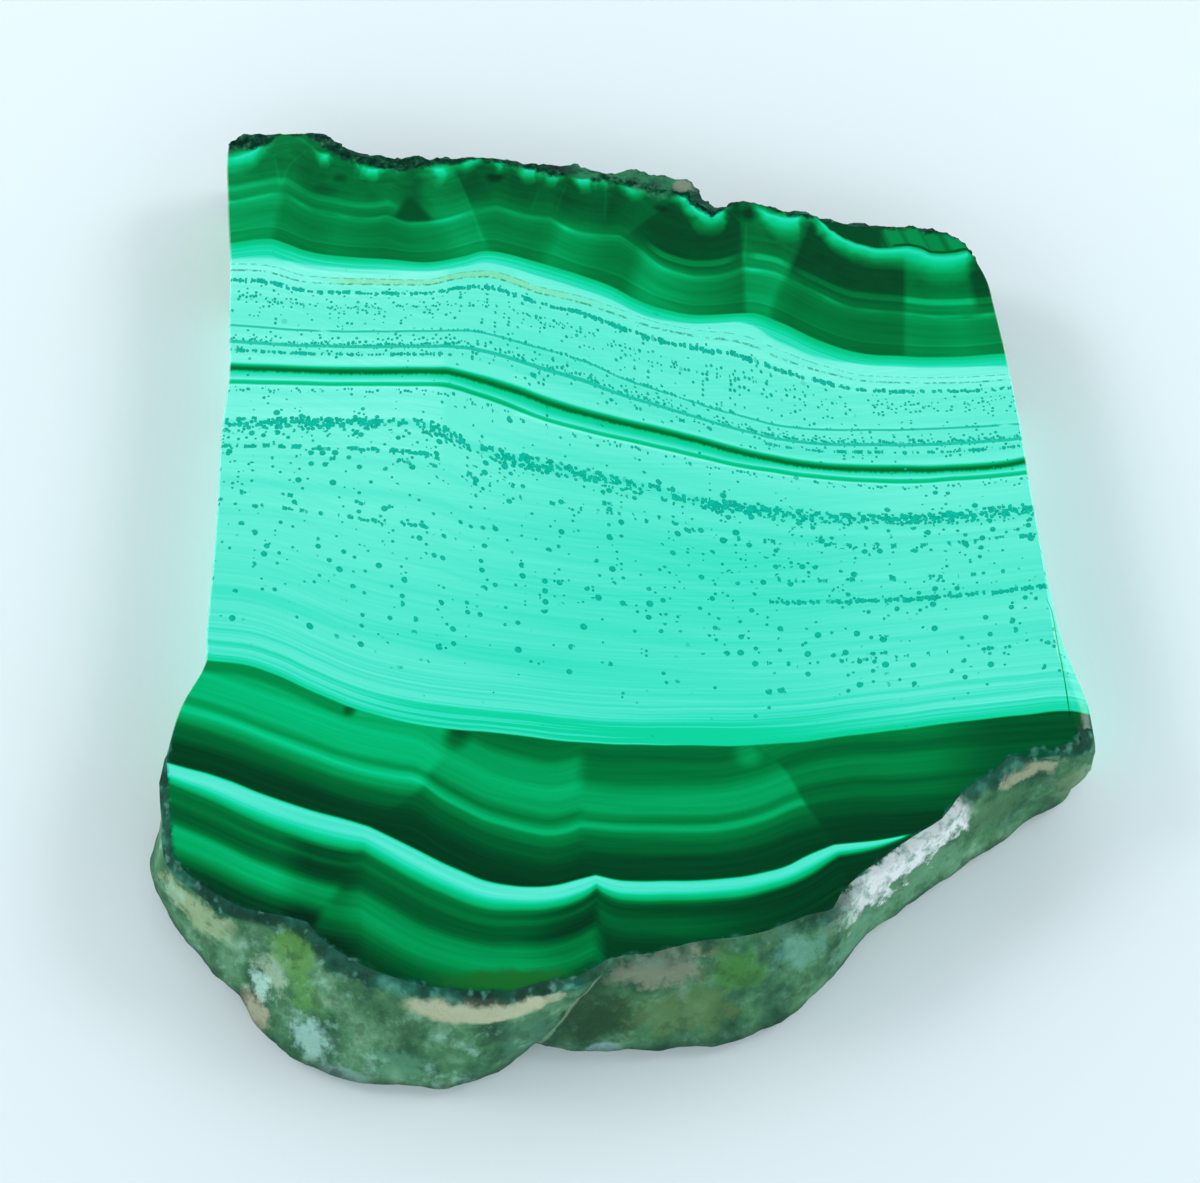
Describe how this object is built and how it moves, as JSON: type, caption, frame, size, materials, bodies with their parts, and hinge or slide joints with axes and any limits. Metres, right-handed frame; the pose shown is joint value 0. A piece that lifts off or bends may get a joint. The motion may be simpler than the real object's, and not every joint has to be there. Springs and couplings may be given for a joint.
{
  "type": "polished malachite tile",
  "caption": "Flat slab of banded malachite with a polished top, sawn sides, a broken back edge and a lobed natural rind along the front.",
  "frame": {"origin": "middle of the underside, where the slab rests, at the centre of its outline's box", "axes": "+Z out of the polished face, +Y towards the broken back edge, -Y towards the lobed rind, +X to the right seen from the rind side"},
  "size_m": [0.1072, 0.127, 0.011],
  "materials": {
    "malachite": "polished on top, matt natural rind and broken matrix at the edges"
  },
  "bodies": {
    "root": {"malachite_slab": "malachite"}
  },
  "joints": []
}
